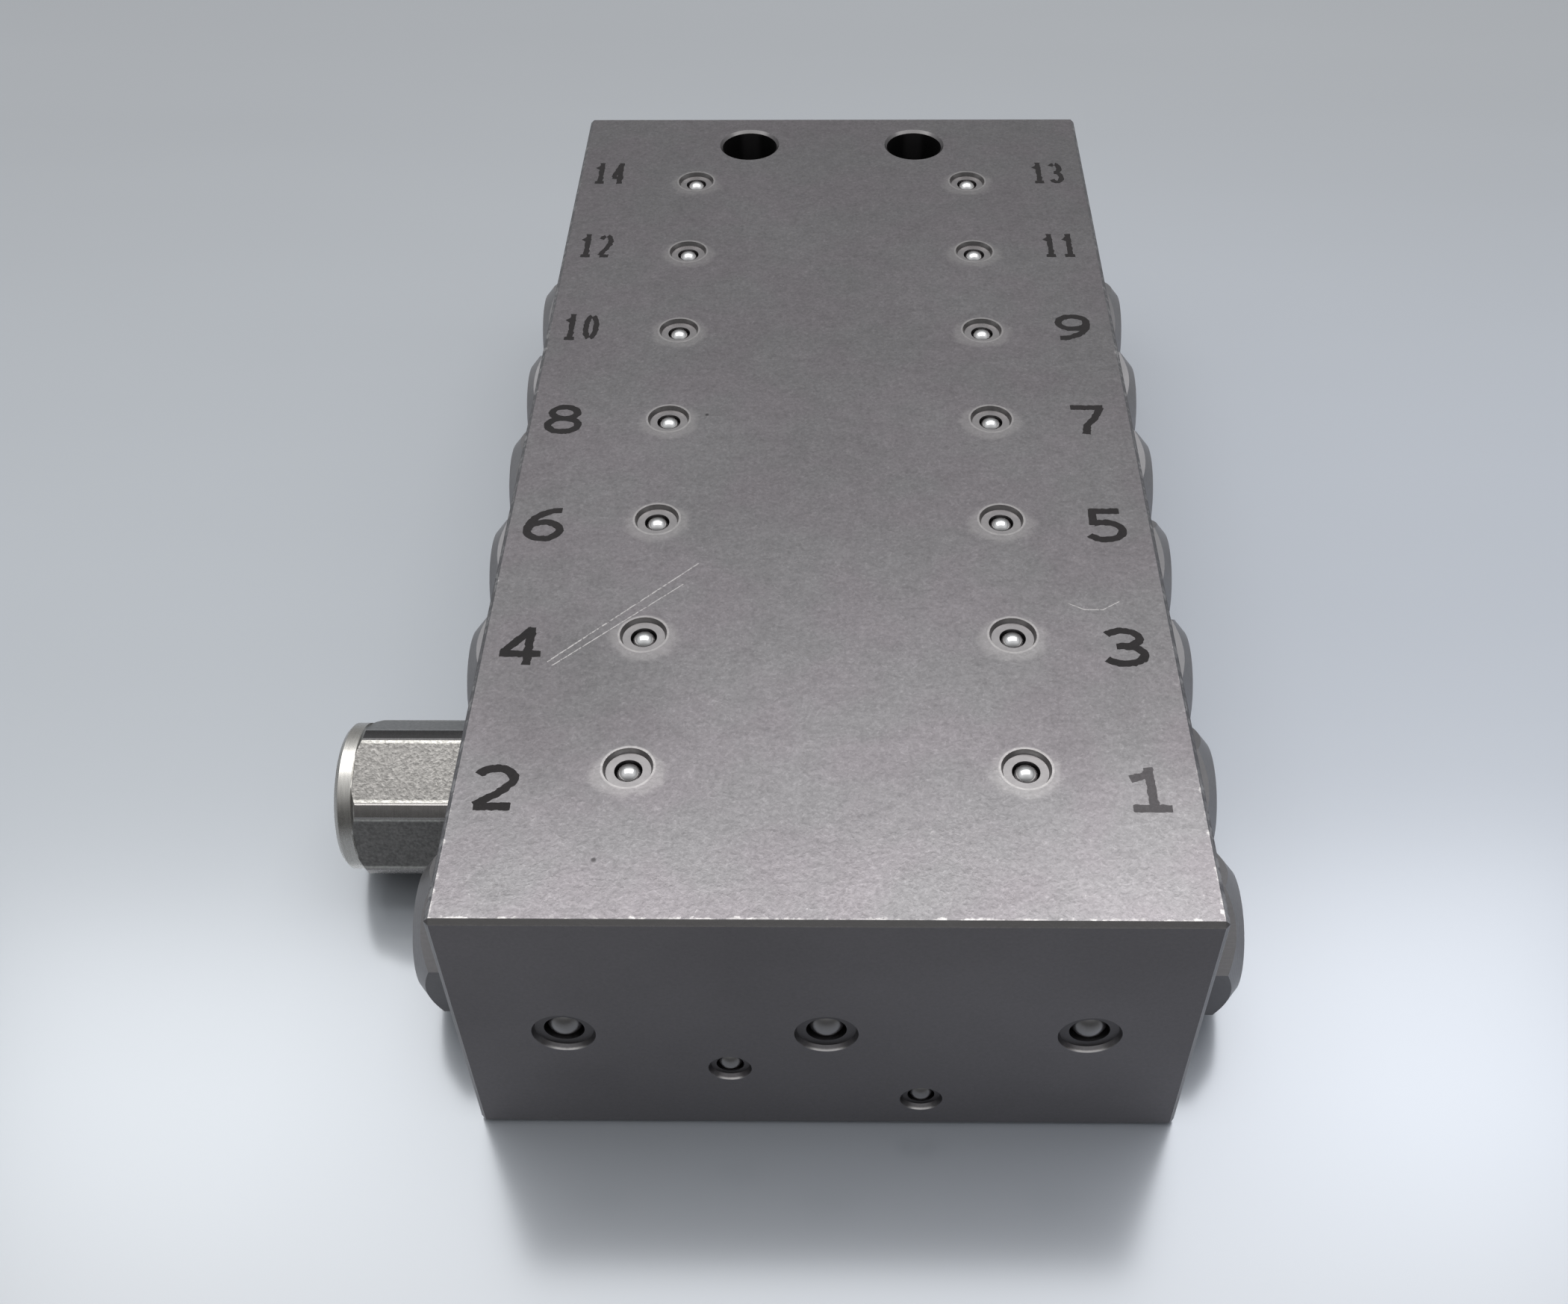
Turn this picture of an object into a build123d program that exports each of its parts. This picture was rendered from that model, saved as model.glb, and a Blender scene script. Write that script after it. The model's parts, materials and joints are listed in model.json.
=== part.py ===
"""Progressive lubricant distributor block with fourteen outlets.

A cross-drilled steel block carries seven spool pistons in a row.  Each piston shuttles across the
block between two hexagon plugs and doses one outlet on either side.  One piston pushes an
indicator pin in and out of its own, longer housing.  Every drilling that breaks out on the top or
the front end is sealed by a steel ball in a shallow tapered seat.

Millimetres.  X runs across the block, Y along the row of pistons towards the inlet, Z up.  The
origin is the centre of the face that is bolted down.
"""
from build123d import *
import math
import os

# Block
BLOCK_WIDTH = 60.0
BLOCK_LENGTH = 120.0
BLOCK_HEIGHT = 30.0
EDGE_CHAMFER = 0.4
STATION_COUNT = 7
STATION_PITCH = 15.0

# Mounting holes, either side of the inlet
MOUNT_SPACING = 20.0
MOUNT_FROM_END = 6.5
MOUNT_HOLE_RADIUS = 3.3
MOUNT_HOLE_CHAMFER = 0.3

# Piston bores and the threaded ports at both ends of each
PISTON_AXIS_Z = 7.7
PISTON_BORE_RADIUS = 3.0
PLUG_PORT_RADIUS = 5.25
PLUG_PORT_DEPTH = 8.0

# Pistons
RUNNING_CLEARANCE = 0.02
PISTON_STROKE = 7.0
PISTON_END_GAP = 0.1
PISTON_NECK_RADIUS = 2.0
PISTON_NECK_LENGTH = 5.0
PISTON_CENTRE_LAND = 9.0
PISTON_CHAMFER = 0.3

# Outlets
OUTLET_FROM_TOP = 8.0
OUTLET_RADIUS = 5.0          # major radius of the outlet thread
OUTLET_DEPTH = 9.0
OUTLET_MOUTH_CHAMFER = 0.6
OUTLET_PASSAGE_RADIUS = 1.5
DRILL_POINT_ANGLE = 59.0     # between the axis of a drill and its cutting edge

# Inlet, in the far end face
INLET_RADIUS = 5.0           # major radius of the inlet thread
INLET_DEPTH = 10.0
INLET_MOUTH_CHAMFER = 0.6

# Channels drilled down from the top, one for each outlet
CHANNEL_FROM_SIDE = 14.0
CHANNEL_RADIUS = 1.15
CHANNEL_SEAT_RADIUS = 2.05

# Galleries drilled in from the front end
GALLERY_Z = 14.6
GALLERY_RADIUS = 1.65
GALLERY_SEAT_RADIUS = 2.6
SIDE_GALLERY_FROM_SIDE = 8.8
FEED_RADIUS = 1.25
SMALL_GALLERY_RADIUS = 1.15
SMALL_GALLERY_SEAT_RADIUS = 1.8
SMALL_GALLERY_LEFT = (-8.0, 9.2)
SMALL_GALLERY_RIGHT = (8.0, 4.3)

# Sealing balls
BALL_SEAT_DEPTH = 0.45
BALL_SEAT_TAPER = 0.2        # the seat's wall leans in by this much
BALL_CLEARANCE = 0.01
BALL_RISE = 0.3              # crown of the ball above the floor of its seat

# Hexagon plugs and their sealing washers
WASHER_THICKNESS = 1.0
WASHER_RADIUS = 6.3
THREAD_CLEARANCE = 0.05
PLUG_HEX = 13.0              # across flats
PLUG_HEAD_HEIGHT = 5.0
PLUG_FACE_RADIUS = 5.4       # circle that the end chamfer leaves on the outer face
PLUG_CHAMFER_ANGLE = 40.0

# Indicator housing and pin
INDICATOR_STATION = 1
HOUSING_HEX = 13.7
HOUSING_CORNER_RADIUS = 7.6  # the hexagon's corners are turned down to this
HOUSING_HEX_LENGTH = 13.1
HOUSING_CHAMFER_ANGLE = 45.0
HOUSING_COLLAR_RADIUS = 7.0
HOUSING_COLLAR_LENGTH = 1.6
HOUSING_TURN = 40.0
PIN_RADIUS = 1.5
PIN_RUNNING_CLEARANCE = 0.05
PIN_TAIL_LENGTH = 4.0        # pressed into the piston
PIN_RECESS = 0.3             # tip below the collar's face when the piston is at rest
SEAL_WIRE_RADIUS = 0.9
SEAL_FROM_END = 3.5

# Places that follow from the sizes above
SIDE_FACE = BLOCK_WIDTH / 2
FRONT_FACE = -BLOCK_LENGTH / 2
BACK_FACE = BLOCK_LENGTH / 2
OUTLET_Z = BLOCK_HEIGHT - OUTLET_FROM_TOP
CHANNEL_X = SIDE_FACE - CHANNEL_FROM_SIDE
SIDE_GALLERY_X = SIDE_FACE - SIDE_GALLERY_FROM_SIDE
CHAMBER_END = SIDE_FACE - PLUG_PORT_DEPTH
STATIONS = [(k - (STATION_COUNT - 1) / 2) * STATION_PITCH for k in range(STATION_COUNT)]
LEFT, RIGHT = -1, 1
SIDES = (RIGHT, LEFT)

# Each plug stopped at its own turn when it was tightened, in degrees, from the front
PLUG_TURNS = {RIGHT: (36, 32, 16, 27, 14, 15, 40), LEFT: (24, 24, 53, 44, 17, 36, 22)}

STEEL = Color(0.55, 0.54, 0.56)
BRIGHT = Color(0.78, 0.78, 0.8)
DARK_STEEL = Color(0.3, 0.3, 0.31)
BLACK = Color(0.05, 0.05, 0.05)


def outlet_number(station, side):
    """Outlets count from the front: odd on the right, even on the left."""
    return 2 * station + (1 if side == RIGHT else 2)


def rod_x(radius, x_from, x_to, y, z):
    """Round bar or drilling along X."""
    return Pos((x_from + x_to) / 2, y, z) * Rot(0, 90, 0) * Cylinder(radius, abs(x_to - x_from))


def rod_y(radius, y_from, y_to, x, z):
    """Round bar or drilling along Y."""
    return Pos(x, (y_from + y_to) / 2, z) * Rot(90, 0, 0) * Cylinder(radius, abs(y_to - y_from))


def rod_z(radius, z_from, z_to, x, y):
    """Round bar or drilling along Z."""
    return Pos(x, y, (z_from + z_to) / 2) * Cylinder(radius, abs(z_to - z_from))


def outward(side, x, y, z):
    """Frame whose Z axis points out of the right or the left side face."""
    return Location(Plane(origin=(side * x, y, z), x_dir=(0, 1, 0), z_dir=(side, 0, 0)))


# ---------------------------------------------------------------- block
def mouth_cone(radius, depth):
    """Countersink for a hole of this radius, wide end up, with its mouth at the origin."""
    return Pos(0, 0, -depth / 2) * Cone(radius, radius + depth, depth)


def drill_point(radius, tip_radius):
    """What a drill leaves at the bottom of its hole, narrow end down, with its mouth at the origin."""
    depth = (radius - tip_radius) / math.tan(math.radians(DRILL_POINT_ANGLE))
    return Pos(0, 0, -depth / 2) * Cone(tip_radius, radius, depth)


def ball_seat(radius):
    """Tapered seat that is struck round a sealing ball, with its mouth at the origin."""
    depth = BALL_SEAT_DEPTH
    return Pos(0, 0, -depth / 2) * Cone(radius - BALL_SEAT_TAPER, radius, depth)


def piston_bore(y):
    """Bore for one piston, with a threaded port at each end."""
    cuts = [rod_x(PISTON_BORE_RADIUS, -CHAMBER_END, CHAMBER_END, y, PISTON_AXIS_Z)]
    for side in SIDES:
        cuts.append(rod_x(PLUG_PORT_RADIUS, side * CHAMBER_END, side * SIDE_FACE, y, PISTON_AXIS_Z))
    return cuts


def outlet_port(y, side):
    """Threaded outlet, the passage behind it and the channel down to the piston."""
    inner_end = SIDE_FACE - OUTLET_DEPTH
    return [
        rod_x(OUTLET_RADIUS, side * inner_end, side * SIDE_FACE, y, OUTLET_Z),
        outward(side, SIDE_FACE, y, OUTLET_Z) * mouth_cone(OUTLET_RADIUS, OUTLET_MOUTH_CHAMFER),
        outward(side, inner_end, y, OUTLET_Z) * drill_point(OUTLET_RADIUS, OUTLET_PASSAGE_RADIUS),
        rod_x(OUTLET_PASSAGE_RADIUS, side * CHANNEL_X, side * inner_end, y, OUTLET_Z),
        rod_z(CHANNEL_RADIUS, PISTON_AXIS_Z, BLOCK_HEIGHT, side * CHANNEL_X, y),
        Pos(side * CHANNEL_X, y, BLOCK_HEIGHT) * ball_seat(CHANNEL_SEAT_RADIUS),
    ]


def front_drilling(radius, seat_radius, x, z, y_end):
    """Gallery from the front end face, with the seat of its sealing ball."""
    return [
        rod_y(radius, FRONT_FACE, y_end, x, z),
        Pos(x, FRONT_FACE, z) * Rot(90, 0, 0) * ball_seat(seat_radius),
    ]


def galleries():
    """Main gallery with its feeds, and the short drillings that reach the first station."""
    cuts = front_drilling(GALLERY_RADIUS, GALLERY_SEAT_RADIUS, 0, GALLERY_Z, BACK_FACE)
    cuts.append(rod_y(INLET_RADIUS, BACK_FACE - INLET_DEPTH, BACK_FACE, 0, GALLERY_Z))
    inlet_mouth = Pos(0, BACK_FACE, GALLERY_Z) * Rot(-90, 0, 0)
    cuts.append(inlet_mouth * mouth_cone(INLET_RADIUS, INLET_MOUTH_CHAMFER))
    cuts.append(inlet_mouth * Pos(0, 0, -INLET_DEPTH) * drill_point(INLET_RADIUS, GALLERY_RADIUS))
    for y in STATIONS:
        cuts.append(rod_z(FEED_RADIUS, PISTON_AXIS_Z, GALLERY_Z, 0, y))
    for side in SIDES:
        x = side * SIDE_GALLERY_X
        cuts += front_drilling(GALLERY_RADIUS, GALLERY_SEAT_RADIUS, x, GALLERY_Z, STATIONS[0])
        cuts.append(rod_z(FEED_RADIUS, PISTON_AXIS_Z, GALLERY_Z, x, STATIONS[0]))
    for x, z in (SMALL_GALLERY_LEFT, SMALL_GALLERY_RIGHT):
        cuts += front_drilling(SMALL_GALLERY_RADIUS, SMALL_GALLERY_SEAT_RADIUS, x, z, STATIONS[0])
    return cuts


def mounting_hole(side):
    """Through hole with a broken edge at both mouths."""
    x = side * MOUNT_SPACING / 2
    y = BACK_FACE - MOUNT_FROM_END
    cone = mouth_cone(MOUNT_HOLE_RADIUS, MOUNT_HOLE_CHAMFER)
    return [
        rod_z(MOUNT_HOLE_RADIUS, 0, BLOCK_HEIGHT, x, y),
        Pos(x, y, BLOCK_HEIGHT) * cone,
        Pos(x, y, 0) * Rot(180, 0, 0) * cone,
    ]


def manifold_body():
    blank = Pos(0, 0, BLOCK_HEIGHT / 2) * Box(BLOCK_WIDTH, BLOCK_LENGTH, BLOCK_HEIGHT)
    blank = chamfer(blank.edges(), EDGE_CHAMFER)
    cuts = galleries()
    for y in STATIONS:
        cuts += piston_bore(y)
        for side in SIDES:
            cuts += outlet_port(y, side)
    for side in SIDES:
        cuts += mounting_hole(side)
    return blank - cuts


# ---------------------------------------------------------------- moving pieces
def piston_length():
    return 2 * CHAMBER_END - PISTON_STROKE - 2 * PISTON_END_GAP


def piston_right_end():
    """At rest each piston stands against its right-hand plug."""
    return CHAMBER_END - PISTON_END_GAP


def piston_left_end():
    return piston_right_end() - piston_length()


def piston(station):
    """Spool with a centre land and an end land each side of two necks."""
    radius = PISTON_BORE_RADIUS - RUNNING_CLEARANCE
    y = STATIONS[station]
    middle = (piston_left_end() + piston_right_end()) / 2
    spool = rod_x(radius, piston_left_end(), piston_right_end(), y, PISTON_AXIS_Z)
    spool = chamfer(spool.edges(), PISTON_CHAMFER)
    for side in SIDES:
        near = middle + side * PISTON_CENTRE_LAND / 2
        far = near + side * PISTON_NECK_LENGTH
        sleeve = rod_x(PISTON_BORE_RADIUS, near, far, y, PISTON_AXIS_Z)
        neck = rod_x(PISTON_NECK_RADIUS, near, far, y, PISTON_AXIS_Z)
        spool -= sleeve - neck
    if station == INDICATOR_STATION:
        tail_end = piston_left_end() + PIN_TAIL_LENGTH
        spool -= rod_x(PIN_RADIUS, piston_left_end(), tail_end, y, PISTON_AXIS_Z)
    return spool


def indicator_pin():
    y = STATIONS[INDICATOR_STATION]
    tip = -housing_end() + PIN_RECESS
    pin = rod_x(PIN_RADIUS, tip, piston_left_end() + PIN_TAIL_LENGTH, y, PISTON_AXIS_Z)
    return chamfer(pin.edges().sort_by(Axis.X)[0], PISTON_CHAMFER)


# ---------------------------------------------------------------- plugs and washers
def chamfered_hexagon(flats, corner, face, angle, height, turn):
    """Hexagon bar on the origin, turned down at its corners and chamfered at its outer end."""
    base = (Align.CENTER, Align.CENTER, Align.MIN)
    drop = (corner - face) * math.tan(math.radians(angle))
    prism = extrude(Rot(0, 0, turn) * RegularPolygon(flats / math.sqrt(3), 6), height)
    shank = Cylinder(corner, height - drop, align=base)
    end = Pos(0, 0, height - drop) * Cone(corner, face, drop, align=base)
    return prism & (shank + end)


def plug_spigot():
    """Threaded shank, from under the head down into the port."""
    radius = PLUG_PORT_RADIUS - THREAD_CLEARANCE
    length = PLUG_PORT_DEPTH + WASHER_THICKNESS
    return Cylinder(radius, length, align=(Align.CENTER, Align.CENTER, Align.MAX))


def head_seat(station, side):
    """Frame on the outer face of the sealing washer."""
    return outward(side, SIDE_FACE + WASHER_THICKNESS, STATIONS[station], PISTON_AXIS_Z)


def plug_turn(station, side):
    turns = PLUG_TURNS[side]
    return turns[station % len(turns)]


def piston_plug(station, side):
    corner = PLUG_HEX / math.sqrt(3)
    turn = plug_turn(station, side)
    head = chamfered_hexagon(PLUG_HEX, corner, PLUG_FACE_RADIUS, PLUG_CHAMFER_ANGLE, PLUG_HEAD_HEIGHT, turn)
    return head_seat(station, side) * (head + plug_spigot())


def plug_washer(station, side):
    ring = Cylinder(WASHER_RADIUS, WASHER_THICKNESS) - Cylinder(PLUG_PORT_RADIUS, WASHER_THICKNESS)
    return outward(side, SIDE_FACE + WASHER_THICKNESS / 2, STATIONS[station], PISTON_AXIS_Z) * ring


def housing_end():
    """Outer end of the indicator housing, measured from the middle of the block."""
    return SIDE_FACE + WASHER_THICKNESS + HOUSING_HEX_LENGTH + HOUSING_COLLAR_LENGTH


def seal_radius():
    """Middle of the seal's wire."""
    return PIN_RADIUS + RUNNING_CLEARANCE + SEAL_WIRE_RADIUS


def seal_place():
    y = STATIONS[INDICATOR_STATION]
    return outward(LEFT, housing_end() - SEAL_FROM_END, y, PISTON_AXIS_Z)


def indicator_housing():
    """Hexagon bar with turned corners, a collar, and a bore for the pin with a seal groove."""
    shape = chamfered_hexagon(HOUSING_HEX, HOUSING_CORNER_RADIUS, HOUSING_COLLAR_RADIUS,
                              HOUSING_CHAMFER_ANGLE, HOUSING_HEX_LENGTH, HOUSING_TURN)
    collar = Cylinder(HOUSING_COLLAR_RADIUS, HOUSING_COLLAR_LENGTH,
                      align=(Align.CENTER, Align.CENTER, Align.MIN))
    collar = chamfer(collar.edges().sort_by(Axis.Z)[-1], EDGE_CHAMFER)
    shape += Pos(0, 0, HOUSING_HEX_LENGTH) * collar
    shape += plug_spigot()
    shape = head_seat(INDICATOR_STATION, LEFT) * shape
    y = STATIONS[INDICATOR_STATION]
    bore = rod_x(PIN_RADIUS + PIN_RUNNING_CLEARANCE, -CHAMBER_END, -housing_end(), y, PISTON_AXIS_Z)
    groove_radius = seal_radius() + SEAL_WIRE_RADIUS + RUNNING_CLEARANCE
    groove = seal_place() * Cylinder(groove_radius, 2 * (SEAL_WIRE_RADIUS + RUNNING_CLEARANCE))
    return shape - bore - groove


def indicator_seal():
    return seal_place() * Torus(seal_radius(), SEAL_WIRE_RADIUS)


# ---------------------------------------------------------------- sealing balls
def ball_depth(radius):
    """Centre of the ball, measured in from the face that the drilling starts from."""
    return BALL_SEAT_DEPTH + radius - BALL_RISE


def channel_ball(station, side):
    radius = CHANNEL_RADIUS - BALL_CLEARANCE
    return Pos(side * CHANNEL_X, STATIONS[station], BLOCK_HEIGHT - ball_depth(radius)) * Sphere(radius)


def gallery_ball(hole_radius, x, z):
    radius = hole_radius - BALL_CLEARANCE
    return Pos(x, FRONT_FACE + ball_depth(radius), z) * Sphere(radius)


def all_nodes():
    nodes = {"manifold_body": (manifold_body(), STEEL)}
    for station in range(STATION_COUNT):
        nodes[f"piston_{station + 1}"] = (piston(station), BRIGHT)
        for side in SIDES:
            number = outlet_number(station, side)
            nodes[f"plug_washer_{number}"] = (plug_washer(station, side), DARK_STEEL)
            nodes[f"channel_ball_{number}"] = (channel_ball(station, side), BRIGHT)
            if (station, side) != (INDICATOR_STATION, LEFT):
                nodes[f"piston_plug_{number}"] = (piston_plug(station, side), STEEL)
    nodes["indicator_housing"] = (indicator_housing(), STEEL)
    nodes["indicator_pin"] = (indicator_pin(), BRIGHT)
    nodes["indicator_seal"] = (indicator_seal(), BLACK)
    nodes["gallery_ball_centre"] = (gallery_ball(GALLERY_RADIUS, 0, GALLERY_Z), BRIGHT)
    nodes["gallery_ball_right"] = (gallery_ball(GALLERY_RADIUS, SIDE_GALLERY_X, GALLERY_Z), BRIGHT)
    nodes["gallery_ball_left"] = (gallery_ball(GALLERY_RADIUS, -SIDE_GALLERY_X, GALLERY_Z), BRIGHT)
    nodes["small_ball_left"] = (gallery_ball(SMALL_GALLERY_RADIUS, *SMALL_GALLERY_LEFT), BRIGHT)
    nodes["small_ball_right"] = (gallery_ball(SMALL_GALLERY_RADIUS, *SMALL_GALLERY_RIGHT), BRIGHT)
    return nodes


os.makedirs("parts", exist_ok=True)
for name, (shape, colour) in all_nodes().items():
    solids = shape.solids()
    result = solids[0] if len(solids) == 1 else Compound(children=solids)
    result.label = name
    result.color = colour
    export_step(result, f"parts/{name}.step")
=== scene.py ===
"""Looks of the lubricant distributor block.

Finishes, outlet numbers, port threads, wear, floor, lights and camera.  The scene is in metres, in
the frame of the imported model.  Materials work in millimetres, from the object's own coordinates.
"""
import json
import math
import bmesh
import bpy
from mathutils import Euler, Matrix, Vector, noise
from mathutils.geometry import delaunay_2d_cdt


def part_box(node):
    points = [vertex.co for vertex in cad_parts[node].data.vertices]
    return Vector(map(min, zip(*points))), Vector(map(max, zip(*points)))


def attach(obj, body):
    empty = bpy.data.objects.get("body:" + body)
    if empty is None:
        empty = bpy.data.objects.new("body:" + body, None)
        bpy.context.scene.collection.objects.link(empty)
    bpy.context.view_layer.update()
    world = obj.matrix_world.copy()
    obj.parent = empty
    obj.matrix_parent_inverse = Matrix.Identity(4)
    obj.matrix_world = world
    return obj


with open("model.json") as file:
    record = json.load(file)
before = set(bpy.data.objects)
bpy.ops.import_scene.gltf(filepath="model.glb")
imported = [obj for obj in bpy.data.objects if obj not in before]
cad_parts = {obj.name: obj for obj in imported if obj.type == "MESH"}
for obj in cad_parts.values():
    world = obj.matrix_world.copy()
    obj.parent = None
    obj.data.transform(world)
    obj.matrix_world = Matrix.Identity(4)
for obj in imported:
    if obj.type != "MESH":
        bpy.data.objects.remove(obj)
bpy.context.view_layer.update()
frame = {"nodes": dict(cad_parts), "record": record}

MM = 0.001
BLOCK_LOW, BLOCK_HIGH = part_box("manifold_body")
TOP_Z = BLOCK_HIGH.z
SIDE_X = BLOCK_HIGH.x
FRONT_Y = BLOCK_LOW.y
OUTLET_COUNT = 14


def middle(node):
    low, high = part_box(node)
    return (low + high) / 2


TOP_MM = TOP_Z / MM
SIDE_MM = SIDE_X / MM
FRONT_MM = FRONT_Y / MM
STATION_PITCH = middle("channel_ball_3").y - middle("channel_ball_1").y
CHANNEL_X = middle("channel_ball_1").x
CHANNEL_SEAT_RADIUS = 2.05 * MM
FRONT_SEATS = {"gallery_ball_left": 2.6, "gallery_ball_centre": 2.6, "gallery_ball_right": 2.6,
               "small_ball_left": 1.8, "small_ball_right": 1.8}      # seat radius in millimetres


# ---------------------------------------------------------------- node trees
class Graph:
    """One material.  Any input takes a number, a vector or another node's output."""

    def __init__(self, name):
        self.material = bpy.data.materials.new(name)
        self.material.use_nodes = True
        self.nodes = self.material.node_tree.nodes
        self.links = self.material.node_tree.links
        self.nodes.clear()

    def feed(self, socket, value):
        if isinstance(value, bpy.types.NodeSocket):
            self.links.new(value, socket)
        else:
            socket.default_value = value

    def add(self, kind, inputs=None, **settings):
        node = self.nodes.new("ShaderNode" + kind)
        for key, value in settings.items():
            setattr(node, key, value)
        for key, value in (inputs or {}).items():
            self.feed(node.inputs[key], value)
        return node

    def math(self, operation, a, b=0.0):
        return self.add("Math", {0: a, 1: b}, operation=operation).outputs[0]

    def less(self, a, b):
        return self.math("SUBTRACT", a, b)

    def size(self, a):
        return self.math("ABSOLUTE", a)

    def place(self):
        """Object coordinates in millimetres, as a vector."""
        where = self.add("TexCoord").outputs["Object"]
        return self.add("VectorMath", {0: where, "Scale": 1 / MM}, operation="SCALE").outputs[0]

    def split(self, vector):
        node = self.add("SeparateXYZ", {0: vector})
        return node.outputs[0], node.outputs[1], node.outputs[2]

    def join(self, x, y, z):
        return self.add("CombineXYZ", {0: x, 1: y, 2: z}).outputs[0]

    def normal(self):
        return self.split(self.add("TexCoord").outputs["Normal"])

    def stretch(self, vector, factors):
        return self.add("VectorMath", {0: vector, 1: factors}, operation="MULTIPLY").outputs[0]

    def noise(self, vector, scale, detail=2.0, roughness=0.5, distortion=0.0):
        inputs = {"Vector": vector, "Scale": scale, "Detail": detail,
                  "Roughness": roughness, "Distortion": distortion}
        return self.add("TexNoise", inputs).outputs[0]

    def mask(self, value, start, end):
        """0 at start, 1 at end, smooth between; start may be the larger."""
        node = self.add("MapRange", {0: value, 1: start, 2: end}, interpolation_type="SMOOTHSTEP")
        return node.outputs[0]

    def both(self, a, b):
        return self.math("MULTIPLY", a, b)

    def either(self, a, b):
        return self.math("MAXIMUM", a, b)

    def mix(self, factor, a, b, **settings):
        """Mixes two colours; a mix node's colour sockets are the inputs 6 and 7 and the output 2."""
        node = self.add("Mix", data_type="RGBA", **settings)
        for index, value in ((0, factor), (6, a), (7, b)):
            self.feed(node.inputs[index], value)
        return node.outputs[2]

    def blend(self, factor, a, b):
        """Colour a where factor is 0, colour b where it is 1."""
        return self.mix(factor, a, b)

    def scale(self, colour, factor):
        """Colour times a number."""
        return self.mix(1.0, colour, self.join(factor, factor, factor), blend_type="MULTIPLY")

    def value(self, factor, a, b):
        """Number a where factor is 0, number b where it is 1."""
        return self.add("MapRange", {0: factor, 3: a, 4: b}).outputs[0]

    def total(self, *numbers):
        result = numbers[0]
        for number in numbers[1:]:
            result = self.math("ADD", result, number)
        return result

    def spot(self, x, y, centre, inner, outer):
        """1 within the inner radius of a point of the XY plane, 0 beyond the outer one."""
        away = length_2d(self, self.less(x, centre[0]), self.less(y, centre[1]))
        return self.mask(away, outer, inner)

    def line(self, x, y, start, end, width):
        """1 on a straight line between two points of the XY plane, 0 away from it."""
        (ax, ay), (bx, by) = start, end
        length = math.hypot(bx - ax, by - ay)
        ux, uy = (bx - ax) / length, (by - ay) / length
        from_x, from_y = self.less(x, ax), self.less(y, ay)
        along = self.total(self.both(from_x, ux), self.both(from_y, uy))
        across = self.size(self.total(self.both(from_x, -uy), self.both(from_y, ux)))
        beyond = self.either(self.less(along, length), self.both(along, -1.0))
        away = self.either(across, beyond)
        return self.mask(away, width, width * 0.3)

    def bump(self, height, depth_mm, strength=1.0):
        inputs = {"Height": height, "Distance": depth_mm * MM, "Strength": strength}
        return self.add("Bump", inputs).outputs[0]

    def finish(self, colour, roughness, metallic=1.0, normal=None, **extra):
        shader = self.add("BsdfPrincipled", {"Base Color": colour, "Roughness": roughness,
                                             "Metallic": metallic})
        for key, value in extra.items():
            self.feed(shader.inputs[key.replace("_", " ")], value)
        if normal is not None:
            self.feed(shader.inputs["Normal"], normal)
        output = self.add("OutputMaterial")
        self.links.new(shader.outputs[0], output.inputs[0])
        return self.material


def rgb(red, green, blue):
    return (red, green, blue, 1.0)


def off_station(graph, y):
    """Signed distance in Y from the nearest station, in millimetres."""
    pitch = STATION_PITCH / MM
    station = graph.math("ROUND", graph.math("DIVIDE", y, pitch))
    return graph.less(y, graph.both(station, pitch))


def length_2d(graph, a, b):
    return graph.math("SQRT", graph.total(graph.both(a, a), graph.both(b, b)))


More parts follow.
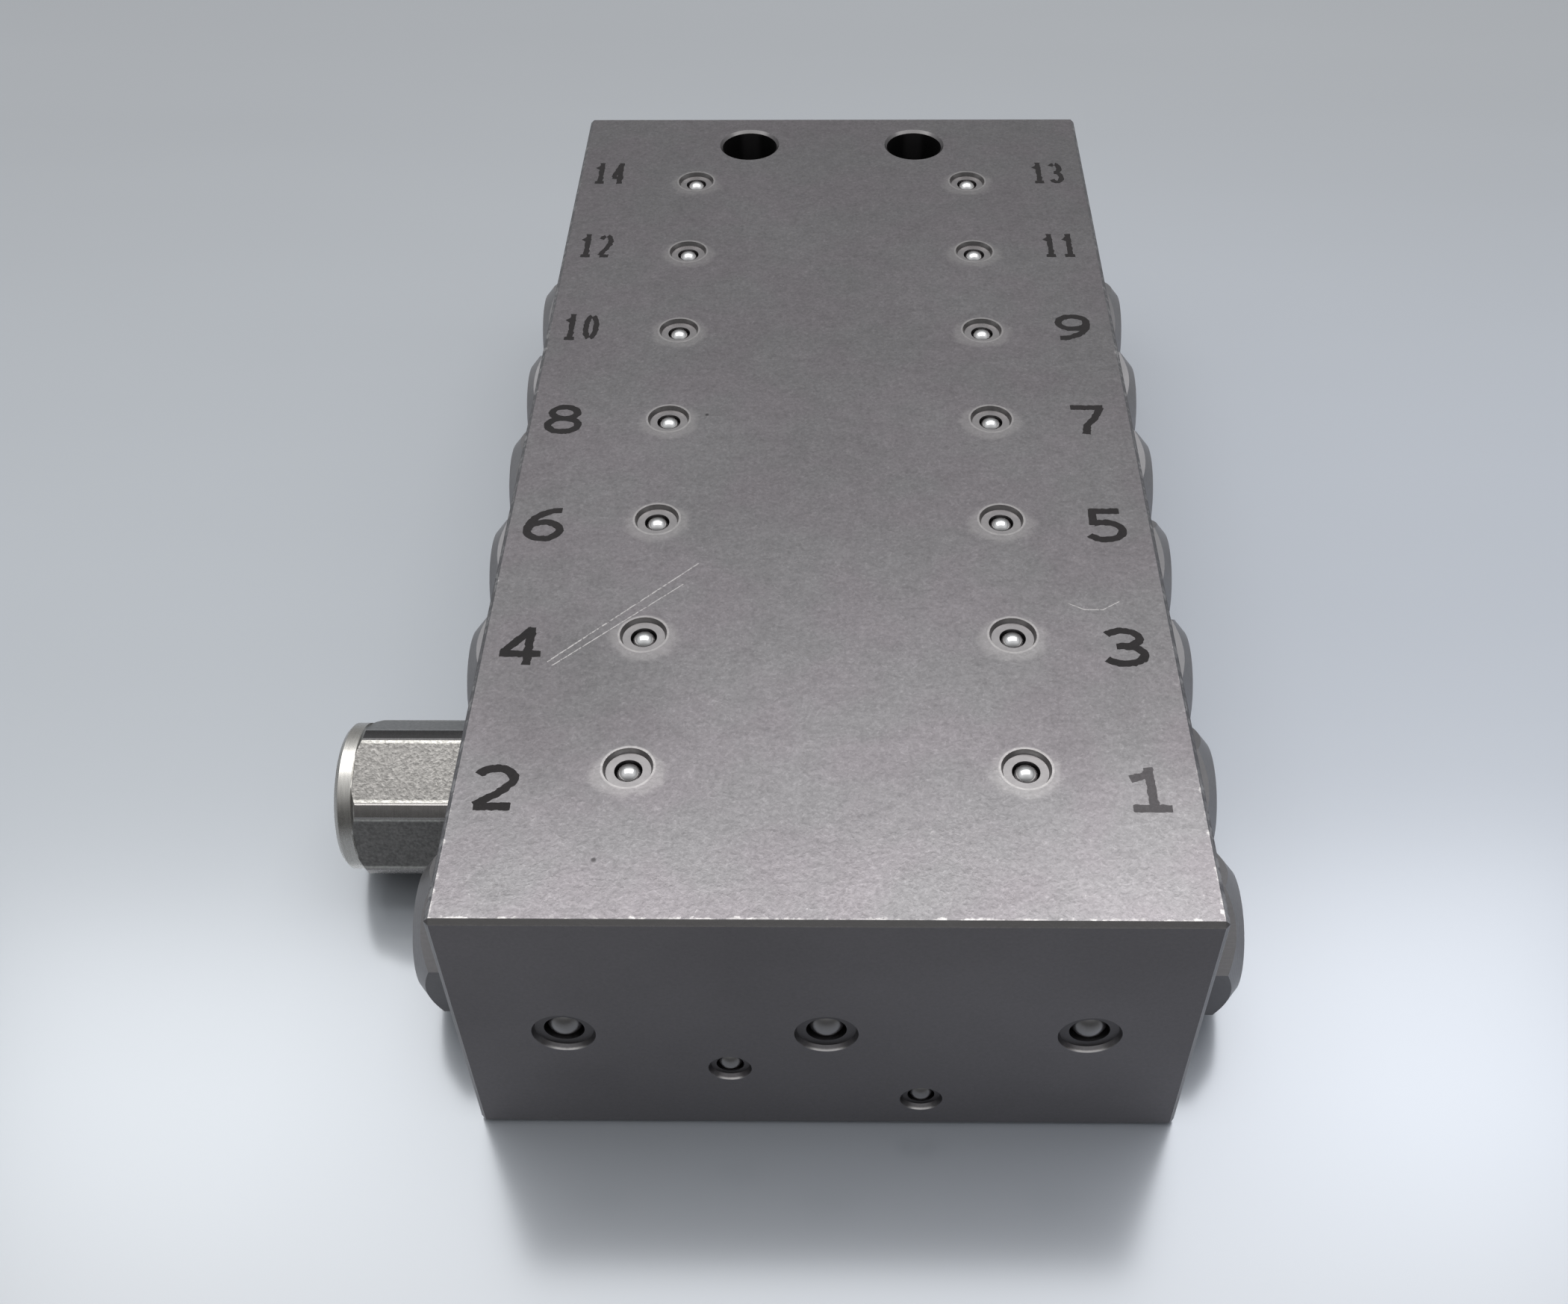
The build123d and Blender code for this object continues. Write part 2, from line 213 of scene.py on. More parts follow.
# ---------------------------------------------------------------- finishes
def block_steel():
    """Blasted steel on the top and sides, ground on both ends, with painted shade on the walls of the
    bores and seats and painted highlights near the front.
    """
    g = Graph("block_steel")
    at = g.place()
    x, y, z = g.split(at)
    nx, ny, nz = g.normal()
    end_face = g.mask(g.size(ny), 0.9, 0.99)
    top = g.mask(z, TOP_MM - 0.7, TOP_MM - 0.1)

    # signed distances out of the box's faces: the second largest is the distance to an edge
    out_x = g.less(g.size(x), SIDE_MM)
    out_y = g.less(g.size(y), -FRONT_MM)
    out_z = g.less(g.size(g.less(z, TOP_MM / 2)), TOP_MM / 2)
    least = g.math("MINIMUM", g.math("MINIMUM", out_x, out_y), out_z)
    most = g.either(g.either(out_x, out_y), out_z)
    to_edge = g.less(g.less(g.total(out_x, out_y, out_z), most), least)

    grain = g.noise(at, 3.0, 3.0, 0.7, 0.6)
    fibre = g.noise(at, 1.5, 2.0, 0.6, 3.0)
    pits = g.noise(at, 1.3, 3.0, 0.6)
    peel = g.noise(at, 0.5, 3.0, 0.55, 0.6)
    dimples = g.noise(at, 1.9, 2.0, 0.5, 0.8)
    cloud = g.noise(at, 0.045, 3.0, 0.5, 0.3)

    # a thin bright lip round each counterbore of the top, and metal rubbed bare in front of it
    ring_x = g.less(g.size(x), CHANNEL_X / MM)
    ring_y = off_station(g, y)
    ring = length_2d(g, ring_x, ring_y)
    rubbed = length_2d(g, g.both(ring_x, 0.85), g.total(ring_y, 0.55))
    seat = CHANNEL_SEAT_RADIUS / MM
    lip = g.both(g.mask(ring, seat + 0.3, seat + 0.12), g.value(pits, 0.2, 0.9))
    rubbed = g.both(g.mask(g.total(rubbed, g.both(peel, 1.8)), seat + 1.75, seat + 0.9), 0.22)
    rim = g.both(g.either(lip, rubbed), g.both(top, g.mask(g.size(y), -FRONT_MM - 7.0, -FRONT_MM - 10.0)))

    # handling marks on the top
    marks = g.either(g.line(x, y, (-23.9, -33.3), (-11.8, -21.1), 0.09),
                     g.line(x, y, (-23.5, -33.8), (-13.0, -23.8), 0.07))
    curl = [(21.1, -26.1), (22.5, -26.9), (24.1, -26.9), (25.6, -25.9)]
    for start, end in zip(curl, curl[1:]):
        marks = g.either(marks, g.line(x, y, start, end, 0.06))
    marks = g.both(g.both(marks, top), g.mask(grain, 0.35, 0.55))

    near_front = g.both(g.mask(y, FRONT_MM + 20.0, FRONT_MM + 2.0), top)
    wear = g.total(to_edge, g.both(pits, 1.5), g.both(near_front, 0.25))
    wear_and_chamfer_highlight = g.both(g.mask(wear, 0.42, 0.7), g.mask(ny, -0.6, -0.4))
    # painted highlight: the chamfer along the front top edge, picked out by the way it faces, is blended
    # half way to the bare-metal colour
    front_chamfer_highlight = g.both(g.mask(nz, 0.5, 0.65), g.mask(ny, -0.5, -0.65))
    wear_and_chamfer_highlight = g.both(wear_and_chamfer_highlight, g.value(g.mask(peel, 0.42, 0.6), 0.3, 0.9))
    wear_and_chamfer_highlight = g.either(wear_and_chamfer_highlight, g.both(front_chamfer_highlight, 0.5))
    # painted highlights: sparse light flecks on the top near the front
    painted_glints = g.both(g.both(g.mask(dimples, 0.72, 0.8), near_front), 0.35)
    cut = g.mask(most, -0.03, -0.08)
    # bare metal where worn or marked, together with the painted highlights on the front chamfer, the front
    # seats' lips and the glints
    bare_and_highlights = g.either(g.either(wear_and_chamfer_highlight, rim), g.either(marks, front_lips(g, x, y, z, pits)))
    bare_and_highlights = g.either(bare_and_highlights, painted_glints)

    tone = g.both(g.value(cloud, 0.82, 1.18), g.value(grain, 0.66, 1.34))
    tone = g.both(tone, g.total(1.0, g.both(g.mask(fibre, 0.56, 0.68), 0.16)))
    tone = g.both(tone, g.total(1.0, g.both(g.less(peel, 0.5), 0.3),
                                g.both(g.less(dimples, 0.5), 0.4)))
    smudge = g.both(g.spot(x, y, (-23.0, -37.0), 3.0, 15.0), 0.2)
    # a lighter patch near the front right corner of the top
    lighter_patch = g.both(g.spot(x, y, (25.0, -54.0), 3.0, 14.0), 0.24)
    specks = g.either(g.spot(x, y, (-17.8, -54.2), 0.12, 0.28), g.spot(x, y, (-12.2, 0.6), 0.1, 0.24))
    tone = g.both(tone, g.total(1.0, lighter_patch, g.both(smudge, -1.0), g.both(g.both(specks, top), -0.6)))
    tint = g.mask(g.noise(at, 0.13, 2.0, 0.5), 0.35, 0.65)
    colour = g.scale(g.blend(tint, rgb(0.201, 0.187, 0.195), rgb(0.197, 0.19, 0.194)), tone)
    ground = g.scale(rgb(0.222, 0.21, 0.216), g.both(g.value(grain, 0.85, 1.15), g.value(cloud, 0.8, 1.2)))
    colour = g.blend(end_face, colour, ground)
    front = g.mask(y, FRONT_MM + 1.0, FRONT_MM + 0.8)
    # painted shade: the walls of the bores and seats are darker than their floors, and darkest in the
    # front end
    bore_tone_and_shade = g.blend(g.mask(nz, 0.9, 0.5), rgb(0.23, 0.22, 0.222), rgb(0.13, 0.125, 0.127))
    bore_tone_and_shade = g.blend(front, bore_tone_and_shade, rgb(0.1, 0.096, 0.098))
    colour = g.blend(g.both(cut, 0.6), colour, bore_tone_and_shade)
    colour = g.blend(bare_and_highlights, colour, rgb(0.52, 0.5, 0.49))

    glazed = g.both(g.mask(g.total(y, g.both(peel, 14.0)), FRONT_MM + 20.0, FRONT_MM + 7.0), top)
    roughness = g.total(g.value(cloud, 0.37, 0.31), g.both(end_face, 0.14), g.both(bare_and_highlights, -0.06),
                        g.both(glazed, -0.07))
    coarse = g.both(g.value(g.either(end_face, cut), 1.0, 0.3), g.value(near_front, 0.6, 1.0))
    height = g.total(g.both(grain, 0.35), g.both(fibre, 0.2), g.both(peel, 1.2), g.both(dimples, 0.7))
    normal = g.bump(height, 0.016, coarse)
    return g.finish(colour, roughness, 1.0, normal)


def front_lips(g, x, y, z, pits):
    """Painted highlight: a bright line along the lower lips of the seats in the front end."""
    lip_highlights = 0.0
    for name, radius in FRONT_SEATS.items():
        centre = middle(name) / MM
        from_x, from_z = g.less(x, centre.x), g.less(z, centre.z)
        away = g.size(g.less(length_2d(g, from_x, from_z), radius))
        low = g.mask(g.math("DIVIDE", from_z, radius), -0.7, -0.97)
        lip_highlights = g.either(lip_highlights, g.both(g.mask(away, 0.1, 0.03), low))
    front = g.mask(y, FRONT_MM + 0.5, FRONT_MM + 0.3)
    return g.both(g.both(lip_highlights, front), g.value(pits, 0.3, 1.3))


def turned_rings(g, radius, pitch):
    """Height of concentric tool marks."""
    return g.math("SINE", g.both(radius, 2 * math.pi / pitch))


def plug_steel():
    """Plated hexagon bar: drawn flats, turned chamfer and end."""
    g = Graph("plug_steel")
    at = g.place()
    x, y, z = g.split(at)
    nx, ny, nz = g.normal()
    axis_z = middle("piston_plug_1").z / MM
    radius = length_2d(g, off_station(g, y), g.less(z, axis_z))
    turned = g.mask(g.size(nx), 0.3, 0.5)
    drawn = g.noise(g.stretch(at, (0.25, 3.0, 3.0)), 1.6, 3.0, 0.6)
    speckle = g.noise(at, 3.0, 3.0, 0.6)
    cloud = g.noise(at, 0.18, 3.0, 0.5)
    tone = g.both(g.value(cloud, 0.8, 1.2), g.value(speckle, 0.85, 1.15))
    tone = g.both(tone, g.value(turned, 1.0, 1.2))
    colour = g.scale(rgb(0.29, 0.284, 0.29), tone)
    height = g.total(g.both(drawn, g.value(turned, 1.0, 0.0)),
                    g.both(turned_rings(g, radius, 0.28), g.value(turned, 0.0, 0.3)))
    roughness = g.total(g.value(speckle, 0.56, 0.7), g.both(turned, -0.18))
    return g.finish(colour, roughness, 1.0, g.bump(height, 0.012))


def housing_steel():
    """Bright hexagon bar: dimpled flats with a painted highlight along their borders, turned corners with
    a painted dark reflection on the upper ones, and collar.
    """
    g = Graph("housing_steel")
    at = g.place()
    x, y, z = g.split(at)
    low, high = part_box("indicator_housing")
    centre = middle("indicator_housing") / MM
    corner = (high.z - low.z) / 2 / MM
    radius = length_2d(g, g.less(y, centre.y), g.less(z, centre.z))
    collar = g.mask(x, low.x / MM + 1.75, low.x / MM + 1.65)
    turned = g.either(g.mask(radius, corner - 0.06, corner - 0.03), collar)
    # painted highlight: a light line along the borders of the flats
    border_highlight = g.both(g.mask(radius, corner - 0.2, corner - 0.12), g.less(1.0, turned))
    # painted reflection: the turned corners above the axis are painted dark
    upper_corners_dark_reflection = g.mask(z, centre.z + 5.4, centre.z + 6.6)

    dimples = g.noise(at, 3.2, 2.0, 0.5, 0.3)
    fine = g.noise(at, 6.0, 2.0, 0.6)
    cloud = g.noise(at, 0.3, 2.0, 0.5)
    lines = g.noise(g.stretch(at, (7.0, 0.3, 0.3)), 2.2, 2.0, 0.6)
    flat_tone = g.both(g.value(dimples, 0.4, 1.6), g.value(fine, 0.8, 1.2))
    flat_tone = g.both(flat_tone, g.value(cloud, 0.92, 1.08))
    colour = g.scale(rgb(0.205, 0.197, 0.187), flat_tone)
    colour = g.blend(g.both(border_highlight, g.value(dimples, 0.2, 1.0)), colour, rgb(0.7, 0.68, 0.63))
    corners = g.blend(upper_corners_dark_reflection, rgb(0.4, 0.382, 0.37), rgb(0.085, 0.083, 0.084))
    turned_colour = g.blend(collar, corners, rgb(0.58, 0.562, 0.53))
    nx, ny, nz = g.normal()
    end_face = g.mask(g.size(nx), 0.5, 0.8)
    rings = turned_rings(g, radius, 0.26)
    turned_tone = g.total(g.both(g.value(lines, 0.7, 1.3), g.less(1.0, end_face)),
                          g.both(g.value(rings, 0.85, 0.95), end_face))
    turned_colour = g.scale(turned_colour, turned_tone)
    colour = g.blend(turned, colour, turned_colour)

    roughness = g.total(g.value(dimples, 0.4, 0.24), g.both(turned, -0.05))
    smoothed = g.less(1.0, turned)
    height = g.total(g.both(g.total(g.both(dimples, 1.6), g.both(fine, 0.4)), smoothed),
                     g.both(g.both(lines, g.less(1.0, end_face)), g.both(turned, 0.35)),
                     g.both(rings, g.both(end_face, 0.3)))
    return g.finish(colour, roughness, 1.0, g.bump(height, 0.026))


def polished_steel(name, colour, rough_low, rough_high):
    """Ground or polished metal with a trace of handling marks."""
    g = Graph(name)
    at = g.place()
    smear = g.noise(at, 0.9, 3.0, 0.6)
    fine = g.noise(at, 5.0, 2.0, 0.6)
    tinted = g.scale(colour, g.value(smear, 0.9, 1.08))
    return g.finish(tinted, g.value(smear, rough_low, rough_high), 1.0, g.bump(fine, 0.002))


def washer_steel():
    g = Graph("washer_steel")
    at = g.place()
    patches = g.noise(at, 0.8, 4.0, 0.6)
    fine = g.noise(at, 4.0, 2.0, 0.6)
    colour = g.scale(rgb(0.17, 0.17, 0.175), g.value(patches, 0.7, 1.3))
    return g.finish(colour, g.value(fine, 0.35, 0.6), 1.0, g.bump(fine, 0.01))


def seal_rubber():
    g = Graph("seal_rubber")
    at = g.place()
    fine = g.noise(at, 6.0, 3.0, 0.6)
    colour = g.scale(rgb(0.02, 0.02, 0.021), g.value(fine, 0.7, 1.5))
    return g.finish(colour, g.value(fine, 0.5, 0.7), 0.0, g.bump(fine, 0.01))


def laser_mark():
    """Dark oxide that a laser leaves in the blasted face, patchy and burnt unevenly."""
    g = Graph("laser_mark")
    at = g.place()
    grain = g.noise(at, 3.6, 3.0, 0.7, 0.5)
    patches = g.noise(at, 0.22, 2.0, 0.5)
    tone = g.both(g.value(grain, 0.4, 1.6), g.value(patches, 0.5, 1.5))
    colour = g.scale(rgb(0.014, 0.0115, 0.012), tone)
    x, y, z = g.split(at)
    faded = g.both(g.spot(x, y, (25.6, -47.1), 2.0, 5.0), g.value(grain, 0.4, 1.0))
    colour = g.blend(faded, colour, rgb(0.135, 0.125, 0.131))
    return g.finish(colour, 0.62, 0.3, g.bump(grain, 0.012), Specular_IOR_Level=0.36)


def pale_floor():
    """Satin pale table top, with painted light and shade: bluer and lighter to the right, darker towards
    the back and in front of the block.
    """
    g = Graph("pale_floor")
    at = g.place()
    sheen = g.noise(g.stretch(at, (0.004, 0.02, 1.0)), 1.0, 3.0, 0.5)
    x, y, z = g.split(at)
    # painted light: bluer and a little lighter towards the right
    colour = g.blend(g.mask(x, -60.0, 60.0), rgb(0.47, 0.496, 0.53), rgb(0.485, 0.516, 0.572))
    # painted shade: darker towards the back
    colour = g.blend(g.mask(y, 0.0, 150.0), colour, rgb(0.43, 0.448, 0.472))
    # painted shade: darker in front of the block, on the camera's side
    colour = g.blend(g.mask(y, -55.0, -95.0), colour, rgb(0.345, 0.358, 0.378))
    colour = g.scale(colour, g.value(sheen, 0.95, 1.05))
    return g.finish(colour, 0.2, 0.2, Specular_IOR_Level=1.0)


def object_from(shape, name):
    """Turns a bmesh into an object of the scene."""
    mesh = bpy.data.meshes.new(name)
    shape.to_mesh(mesh)
    shape.free()
    piece = bpy.data.objects.new(name, mesh)
    bpy.context.scene.collection.objects.link(piece)
    return piece


def ride_the_block(piece, material):
    piece.data.materials.append(material)
    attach(piece, "block")


def assign(nodes, material):
    for name in nodes:
        node = frame["nodes"][name]
        node.data.materials.clear()
        node.data.materials.append(material)


def nodes_named(*starts):
    return [name for name in frame["nodes"] if name.startswith(starts)]


def dress_the_cad():
    assign(["manifold_body"], block_steel())
    assign(nodes_named("piston_plug"), plug_steel())
    assign(["indicator_housing"], housing_steel())
    spools = [f"piston_{number}" for number in range(1, OUTLET_COUNT // 2 + 1)]
    assign(spools + ["indicator_pin"], polished_steel("ground_steel", rgb(0.52, 0.52, 0.53), 0.16, 0.26))
    assign(nodes_named("channel_ball"), polished_steel("ball_steel", rgb(0.62, 0.615, 0.615), 0.11, 0.2))
    assign(nodes_named("gallery_ball", "small_ball"),
           polished_steel("dull_ball_steel", rgb(0.36, 0.35, 0.35), 0.26, 0.36))
    assign(nodes_named("plug_washer"), washer_steel())
    assign(["indicator_seal"], seal_rubber())


# ---------------------------------------------------------------- outlet numbers
DIGIT_HEIGHT = 4.65 * MM
NUMBER_WIDTH = 3.75 * MM
DIGIT_GAP = 0.12             # between two digits, as a share of the number's width
STROKE = 0.76 * MM
STROKE_NARROW = 0.6 * MM
MARK_RAISE = 0.004 * MM
NUMBER_FROM_LEFT = 3.6 * MM
NUMBER_FROM_RIGHT = 4.4 * MM
NUMBER_BEHIND_FRONT = 12.9 * MM
NUMBER_PITCH = 15.65 * MM
ARC_STEPS = 28
STROKE_STEP = 0.2 * MM       # longest straight piece of a stroke
EDGE_WANDER = 0.12 * MM      # the most that a stroke's edge strays along either axis
EDGE_SEED = 5                # fixed, so that the marks are the same in every run
WANDER_PER_MM = 3.1          # how quickly the straying changes along an edge
WANDER_APART = 7.3           # keeps the straying of two digits apart


def arc(x, y, across, up, start, end):
    """Points of an elliptic arc in the digit's unit box, from start to end in degrees."""
    turns = [math.radians(start + (end - start) * i / ARC_STEPS) for i in range(ARC_STEPS + 1)]
    return [(x + across * math.cos(turn), y + up * math.sin(turn)) for turn in turns]


# Centre lines of the strokes, 0 to 1 across the stroke's middle at either edge of the digit
DIGIT_LINES = {
    "0": [arc(0.5, 0.5, 0.5, 0.5, 0, 360)],
    "1": [[(0.54, -0.05), (0.54, 1.08)], [(0.58, 0.98), (0.4, 0.86), (0.02, 0.76)],
          [(-0.02, 0.0), (1.02, 0.0)]],
    "2": [arc(0.47, 0.72, 0.5, 0.28, 158, -28) + [(0.62, 0.36), (0.02, 0.03)], [(0.0, 0.0), (1.0, 0.0)]],
    "3": [arc(0.42, 0.765, 0.5, 0.235, 150, -90) + [(0.24, 0.53)],
          [(0.24, 0.53), (0.42, 0.53)] + arc(0.42, 0.265, 0.57, 0.265, 90, -152)],
    "4": [[(0.74, 1.04), (0.0, 0.3)], [(-0.1, 0.26), (1.1, 0.26)], [(0.72, -0.08), (0.72, 1.08)]],
    "5": [[(0.06, 1.0), (0.97, 1.0)], [(0.12, 1.08), (0.12, 0.5)],
          [(0.12, 0.56)] + arc(0.44, 0.3, 0.55, 0.3, 122, -152)],
    "6": [arc(0.5, 0.29, 0.5, 0.29, 0, 360), arc(0.96, 0.32, 0.96, 0.68, 180, 88)],
    "7": [[(-0.05, 1.0), (1.06, 1.0)], [(0.98, 1.0), (0.72, 0.56), (0.42, 0.26), (0.36, -0.08)]],
    "8": [arc(0.5, 0.765, 0.42, 0.235, 0, 360), arc(0.5, 0.265, 0.5, 0.265, 0, 360)],
    "9": [arc(0.5, 0.71, 0.5, 0.29, 0, 360), arc(0.04, 0.68, 0.96, 0.68, 0, -92)],
}


def resample(points):
    """Adds points on the long straight pieces of a line."""
    result = [points[0]]
    for start, end in zip(points, points[1:]):
        pieces = max(1, round((end - start).length / STROKE_STEP))
        result += [start.lerp(end, i / pieces) for i in range(1, pieces + 1)]
    return result


def wander(point, seed):
    """Moves a point a little, so that a stroke's edge looks burnt in and not printed."""
    away = noise.noise_vector(Vector((point.x / MM * WANDER_PER_MM, point.y / MM * WANDER_PER_MM,
                                      seed * WANDER_APART)))
    return point + EDGE_WANDER * Vector((away.x, away.y))


def ribbon(points, width, seed):
    """Quads of one width along a line of 2-D points, with square ends."""
    points = resample(points)
    count = len(points)
    closed = (points[0] - points[-1]).length < width / 100
    rails = []
    for i, point in enumerate(points):
        before = points[i - 1] if i > 0 else (points[-2] if closed else point)
        after = points[i + 1] if i < count - 1 else (points[1] if closed else point)
        into, out = (point - before), (after - point)
        into = into.normalized() if into.length > 0 else out.normalized()
        out = out.normalized() if out.length > 0 else into
        along = (into + out).normalized()
        reach = width / 2 / max(0.5, along.dot(into))
        side = Vector((-along.y, along.x)) * reach
        rails.append((wander(point + side, seed), wander(point - side, seed)))
    return [(rails[i][0], rails[i][1], rails[i + 1][1], rails[i + 1][0]) for i in range(count - 1)]


def digit_quads(digit, left, width, height, stroke):
    """Stroke quads of one digit, its lower left corner at (left, 0)."""
    quads = []
    for line in DIGIT_LINES[digit]:
        points = [Vector((left + stroke / 2 + u * (width - stroke), stroke / 2 + v * (height - stroke)))
                  for u, v in line]
        quads += ribbon(points, stroke, int(digit) + left / MM)
    return quads


def inside_quad(point, quad):
    """Whether a point lies in a convex quad, taken in either direction."""
    signs = [(b - a).cross(point - a) > 0 for a, b in zip(quad, quad[1:] + quad[:1])]
    return all(signs) or not any(signs)


def number_quads(words):
    if len(words) == 1:
        return digit_quads(words, 0.0, NUMBER_WIDTH, DIGIT_HEIGHT, STROKE)
    gap = DIGIT_GAP * NUMBER_WIDTH
    width = (NUMBER_WIDTH - gap) / 2
    return (digit_quads(words[0], 0.0, width, DIGIT_HEIGHT, STROKE_NARROW)
            + digit_quads(words[1], width + gap, width, DIGIT_HEIGHT, STROKE_NARROW))


def flat_mark(name, quads, x, y):
    """One closed sheet from overlapping quads, lying on the top face and centred on x, y."""
    corners = [corner for quad in quads for corner in quad]
    faces = [list(range(4 * i, 4 * i + 4)) for i in range(len(quads))]
    points, _, triangles, _, _, _ = delaunay_2d_cdt(corners, [], faces, 0, 1e-7)
    centres = [(points[a] + points[b] + points[c]) / 3 for a, b, c in triangles]
    inside = [triangle for triangle, centre in zip(triangles, centres)
              if any(inside_quad(centre, quad) for quad in quads)]
    shape = bmesh.new()
    offset = Vector((x - NUMBER_WIDTH / 2, y - DIGIT_HEIGHT / 2))
    vertices = [shape.verts.new((*(point + offset), TOP_Z - MARK_RAISE)) for point in points]
    for triangle in inside:
        shape.faces.new([vertices[i] for i in triangle])
    bmesh.ops.delete(shape, geom=[v for v in shape.verts if not v.link_faces], context="VERTS")
    lifted = bmesh.ops.extrude_face_region(shape, geom=list(shape.faces))["geom"]
    for vertex in lifted:
        if isinstance(vertex, bmesh.types.BMVert):
            vertex.co.z = TOP_Z + MARK_RAISE
    bmesh.ops.recalc_face_normals(shape, faces=shape.faces)
    return object_from(shape, name)


def outlet_numbers():
    noise.seed_set(EDGE_SEED)
    material = laser_mark()
    for number in range(1, OUTLET_COUNT + 1):
        station = (number - 1) // 2
        right = number % 2 == 1
        x = SIDE_X - NUMBER_FROM_RIGHT if right else -SIDE_X + NUMBER_FROM_LEFT
        y = FRONT_Y + NUMBER_BEHIND_FRONT + station * NUMBER_PITCH
        ride_the_block(flat_mark(f"outlet_number_{number}", number_quads(str(number)), x, y), material)


# ---------------------------------------------------------------- port threads
THREAD_PITCH = 1.0 * MM
THREAD_STEPS = 40            # mesh rows in a turn
THREAD_DEPTH = 0.54 * MM     # from the major to the minor radius of M10x1
ROOT_WIDTH = 0.86 * MM
CREST_WIDTH = 0.26 * MM
THREAD_BURIED = 0.03 * MM    # how far the ridge's root runs into the wall
THREAD_RUNOUT = THREAD_STEPS / 3      # rows over which a ridge's end fades
SHARP_ANGLE = math.radians(35)


def thread_ridge(name, mouth, inward, radius, length):
    """The metal left between the grooves of a tapped hole: a helix that stands in from its wall."""
    across = inward.orthogonal().normalized()
    up = inward.cross(across)
    rows = round(length / THREAD_PITCH * THREAD_STEPS)
    shape = bmesh.new()
    loops = []
    for row in range(rows + 1):
        turn = 2 * math.pi * row / THREAD_STEPS
        fade = min(1.0, 0.05 + min(row, rows - row) / THREAD_RUNOUT)
        out = across * math.cos(turn) + up * math.sin(turn)
        centre = mouth + inward * (THREAD_PITCH * row / THREAD_STEPS)
        root, crest = radius + THREAD_BURIED, radius - THREAD_DEPTH * fade
        profile = ((root, -ROOT_WIDTH / 2), (crest, -CREST_WIDTH / 2),
                   (crest, CREST_WIDTH / 2), (root, ROOT_WIDTH / 2))
        loops.append([shape.verts.new(centre + out * reach + inward * along) for reach, along in profile])
    for near, far in zip(loops, loops[1:]):
        for i in range(4):
            j = (i + 1) % 4
            shape.faces.new((near[i], near[j], far[j], far[i]))
    shape.faces.new(loops[0])
    shape.faces.new(loops[-1])
    bmesh.ops.recalc_face_normals(shape, faces=shape.faces)
    piece = object_from(shape, name)
    for polygon in piece.data.polygons:
        polygon.use_smooth = True
    piece.data.set_sharp_from_angle(angle=SHARP_ANGLE)
    return piece


def thread_steel():
    """Flanks left bright by the tap, with a trace of oil in the grooves."""
    g = Graph("thread_steel")
    at = g.place()
    fine = g.noise(at, 4.0, 3.0, 0.6)
    smear = g.noise(at, 0.7, 3.0, 0.55)
    colour = g.scale(rgb(0.34, 0.33, 0.325), g.both(g.value(smear, 0.7, 1.3), g.value(fine, 0.85, 1.15)))
    return g.finish(colour, g.value(fine, 0.24, 0.38), 1.0, g.bump(fine, 0.01))


def port_threads():
    material = thread_steel()
    for mount in frame["record"]["mounts"]:
        if mount["kind"] != "threaded_hole":
            continue
        outward = Vector(mount["axis"])
        length = mount["dims"]["length_mm"] * MM
        mouth = Vector(mount["pos_m"]) + outward * (length / 2 - ROOT_WIDTH / 2)
        ride_the_block(thread_ridge(mount["name"] + "_thread", mouth, -outward,
                                    mount["dims"]["r_mm"] * MM, length - ROOT_WIDTH), material)


# ---------------------------------------------------------------- floor, lights, camera
FLOOR_HALF_SIZE = 1.5
FLOOR_GAP = 0.05 * MM


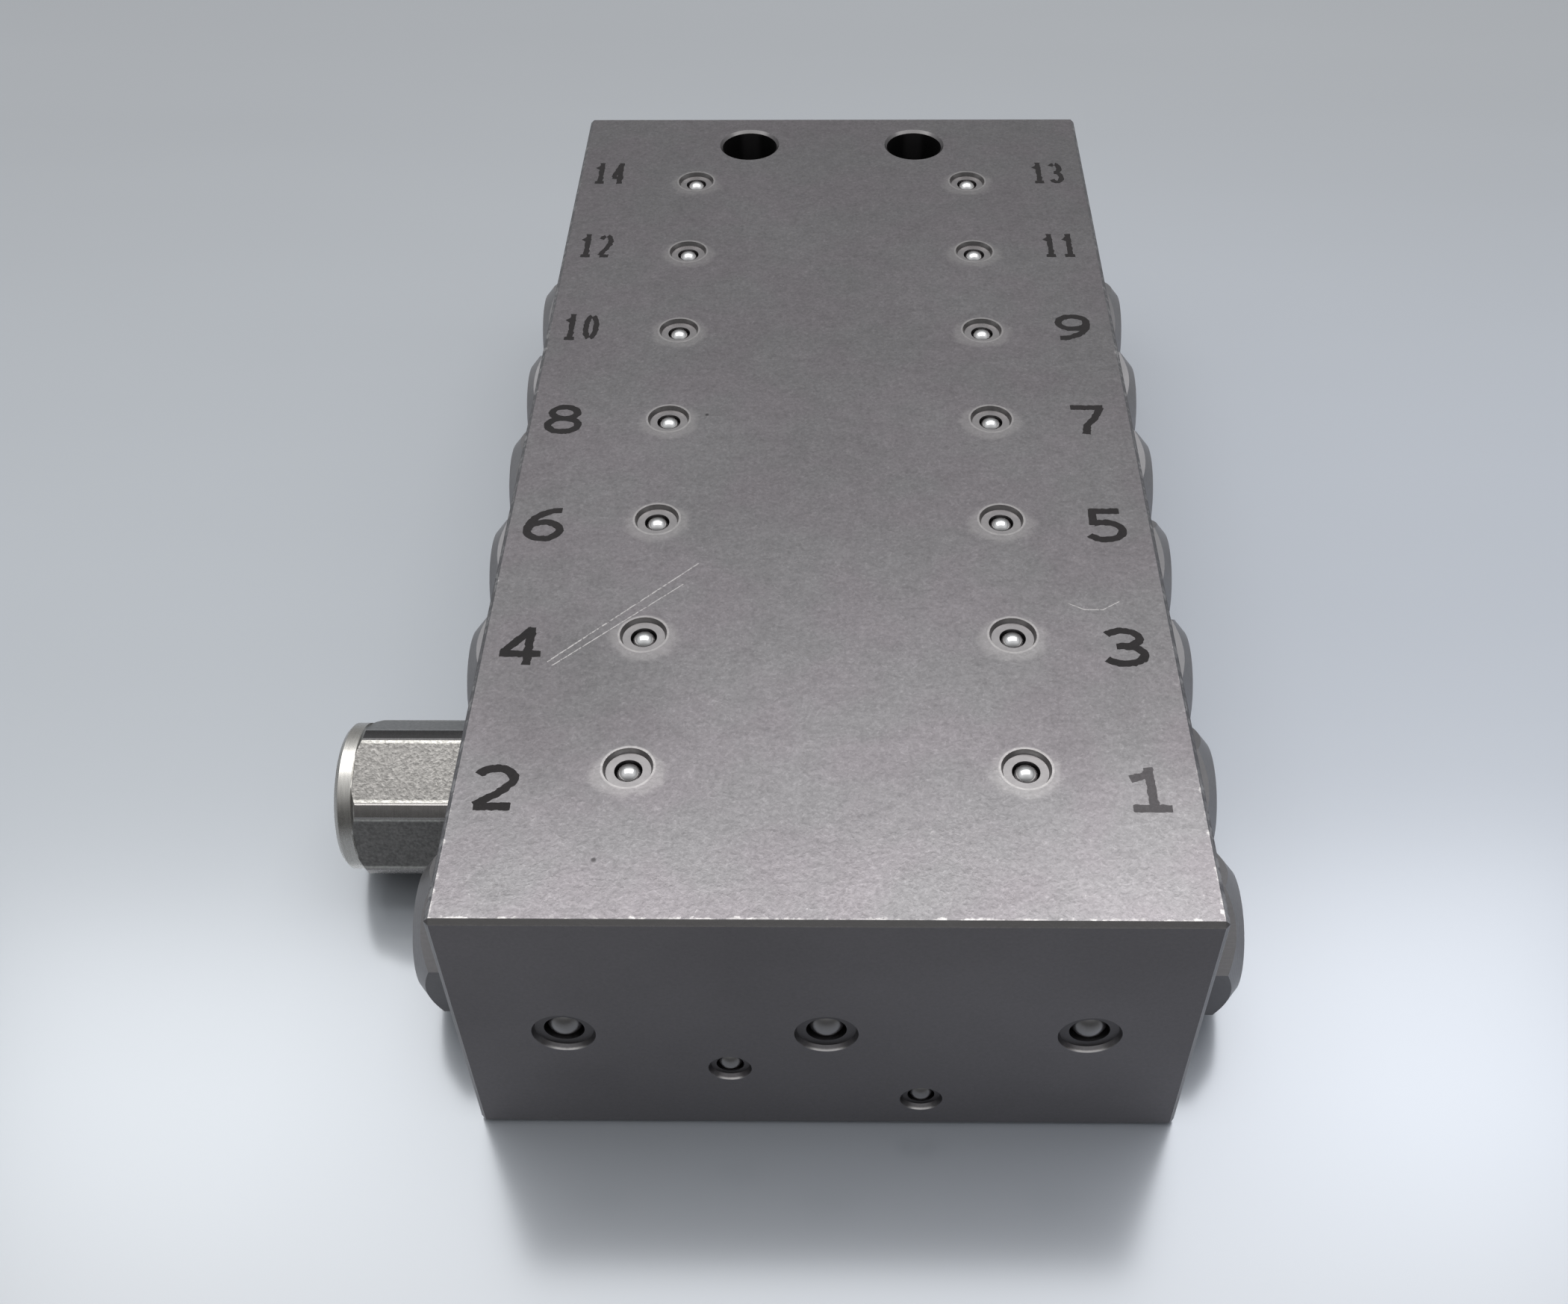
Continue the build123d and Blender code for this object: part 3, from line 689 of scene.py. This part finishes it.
def floor_and_lights():
    shape = bmesh.new()
    bmesh.ops.create_grid(shape, x_segments=8, y_segments=8, size=FLOOR_HALF_SIZE)
    floor = object_from(shape, "floor")
    floor.location = (0, 0, BLOCK_LOW.z - FLOOR_GAP)
    floor.data.materials.append(pale_floor())

    softbox = bpy.data.lights.new("softbox", "AREA")
    softbox.shape = "RECTANGLE"
    softbox.size = 0.95
    softbox.size_y = 0.52
    softbox.energy = 3.35
    lamp = bpy.data.objects.new("softbox", softbox)
    lamp.location = (-0.01, 0.2, 0.75)
    lamp.rotation_euler = (Vector((0, 0, 0)) - lamp.location).to_track_quat("-Z", "Y").to_euler()
    bpy.context.scene.collection.objects.link(lamp)


def studio_world():
    """Soft surround: pale behind and above, dim on the camera's side."""
    world = bpy.data.worlds.new("studio")
    world.use_nodes = True
    bpy.context.scene.world = world
    nodes = world.node_tree.nodes
    links = world.node_tree.links
    nodes.clear()
    where = nodes.new("ShaderNodeTexCoord")
    parts = nodes.new("ShaderNodeSeparateXYZ")
    links.new(where.outputs["Generated"], parts.inputs[0])

    def ramp(source, start, end, low, high):
        node = nodes.new("ShaderNodeMapRange")
        node.interpolation_type = "SMOOTHSTEP"
        links.new(source, node.inputs[0])
        for index, value in zip((1, 2, 3, 4), (start, end, low, high)):
            node.inputs[index].default_value = value
        return node.outputs[0]

    rise = ramp(parts.outputs[2], 0.3, 0.85, 0.33, 0.97)
    front = ramp(parts.outputs[1], -0.9, -0.05, 0.34, 1.0)
    product = nodes.new("ShaderNodeMath")
    product.operation = "MULTIPLY"
    links.new(rise, product.inputs[0])
    links.new(front, product.inputs[1])
    background = nodes.new("ShaderNodeBackground")
    background.inputs[0].default_value = rgb(0.97, 0.985, 1.0)
    links.new(product.outputs[0], background.inputs[1])
    output = nodes.new("ShaderNodeOutputWorld")
    links.new(background.outputs[0], output.inputs[0])


def photo_camera():
    """The photograph's viewpoint: in front of the block and well above it."""
    lens = bpy.data.cameras.new("camera")
    lens.lens = 38.188
    lens.sensor_width = 36.0
    lens.shift_x = -0.02215
    lens.shift_y = -0.01235
    lens.clip_start = 0.01
    camera = bpy.data.objects.new("camera", lens)
    camera.location = (0.82 * MM, -130.82 * MM, 132.8 * MM)
    camera.rotation_euler = Euler([math.radians(angle) for angle in (44.506, 0.374, 0.54)])
    bpy.context.scene.collection.objects.link(camera)
    bpy.context.scene.camera = camera


bpy.context.scene.view_settings.view_transform = "Standard"
dress_the_cad()
outlet_numbers()
port_threads()
floor_and_lights()
studio_world()
photo_camera()
